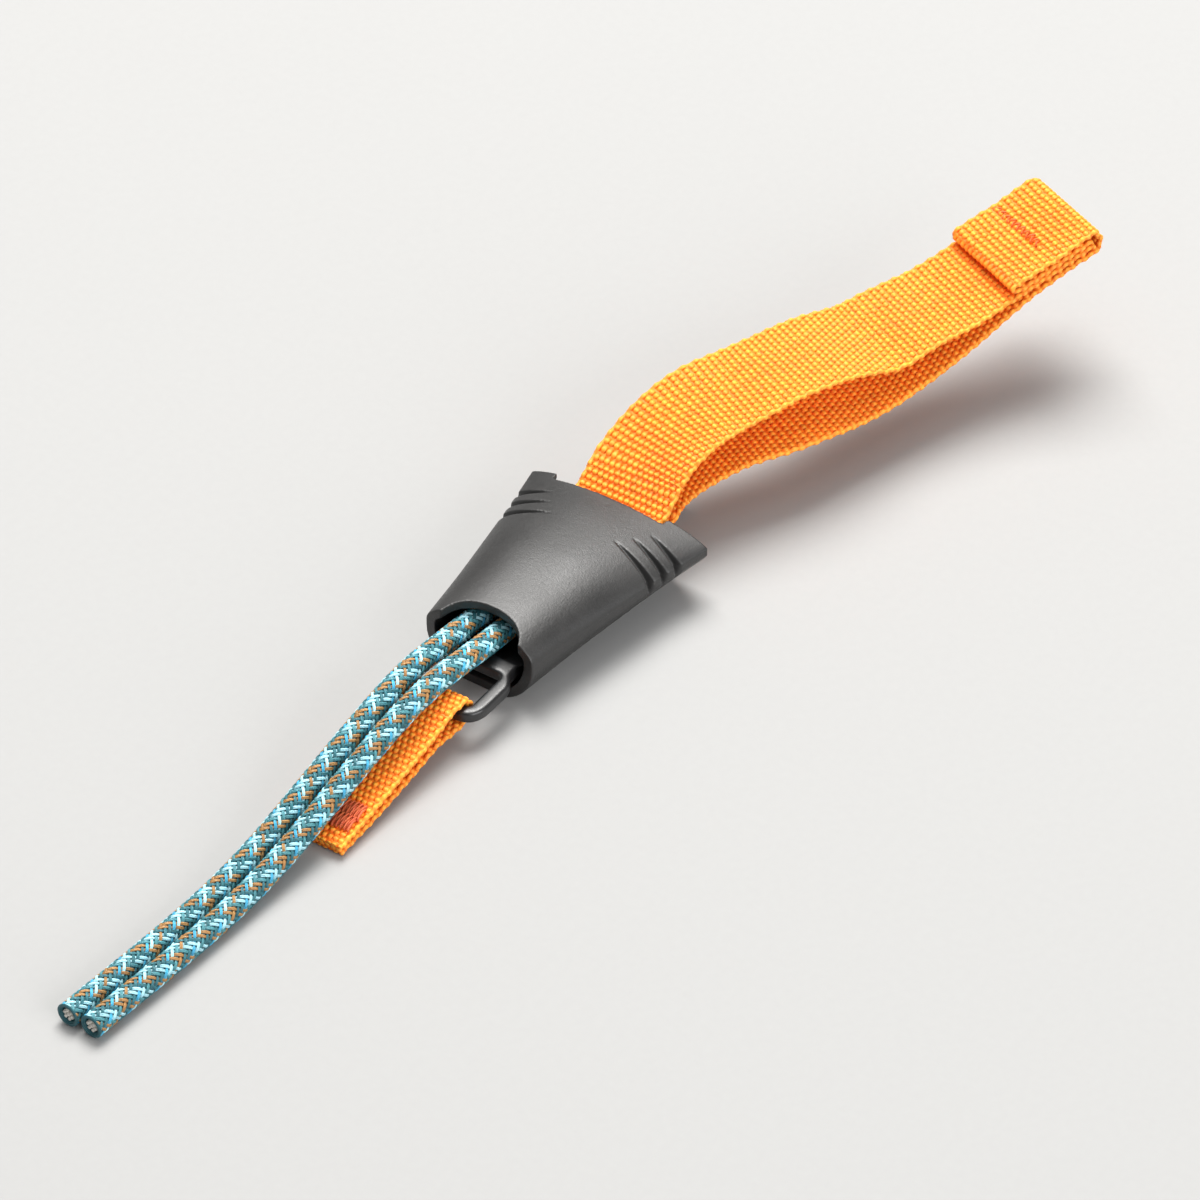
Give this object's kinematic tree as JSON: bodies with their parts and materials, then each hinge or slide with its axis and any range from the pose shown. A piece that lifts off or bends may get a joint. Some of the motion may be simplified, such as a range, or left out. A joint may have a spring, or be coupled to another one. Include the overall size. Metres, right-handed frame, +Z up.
{
  "type": "cord lock",
  "caption": "One-hand drawcord lock: a tapered shell with a sprung toothed slider, a ring and anchor tab, paired braided cords and a webbing pull loop that releases it.",
  "frame": {"origin": "middle of the housing's flat underside, halfway between its two mouths", "axes": "+X towards the wide mouth with the pull loop, -X towards the narrow mouth with the cord tails and ring, +Z up from the rest face"},
  "size_m": [0.1637, 0.0382, 0.019],
  "materials": {
    "housing_plastic": "fine satin texture",
    "core_plastic": "smooth",
    "spring_steel": "drawn wire",
    "orange_webbing": "ribbed woven polyester",
    "bartack_thread": "dense zigzag stitching",
    "cord_braid": "braided, with light blue and brown flecks",
    "cord_yarn": "parallel yarns"
  },
  "bodies": {
    "housing": {"housing": "housing_plastic", "spring_left": "spring_steel", "spring_right": "spring_steel", "pull_strap_fold": "orange_webbing"},
    "slider": {"core": "core_plastic"},
    "pull_loop": {"pull_strap": "orange_webbing", "pull_strap_bartack": "bartack_thread"},
    "anchor": {"anchor_tab": "orange_webbing", "anchor_bartack": "bartack_thread"},
    "cords": {"cord_left_sheath": "cord_braid", "cord_left_core": "cord_yarn", "cord_right_sheath": "cord_braid", "cord_right_core": "cord_yarn"}
  },
  "joints": [
    {"name": "slider_travel", "type": "slide", "parent": "housing", "child": "slider", "axis": [1, 0, 0], "range_m": [-0.0025, 0], "stiffness_N_per_m": 400, "springref_m": 0.001, "deforming": ["spring_left", "spring_right"]},
    {"name": "pull_loop_swing", "type": "hinge", "parent": "housing", "child": "pull_loop", "pos_m": [0.0151, 0, 0.0074], "axis": [0, -1, 0], "range_deg": [-6, 60]},
    {"name": "anchor_tab_swing", "type": "hinge", "parent": "slider", "child": "anchor", "pos_m": [-0.02283, 0, 0.00395], "axis": [0, 1, 0], "range_deg": [-60, 0]},
    {"name": "cord_feed", "type": "slide", "parent": "housing", "child": "cords", "axis": [-0.9919, 0, 0.127], "range_m": [0, 0.009]}
  ]
}
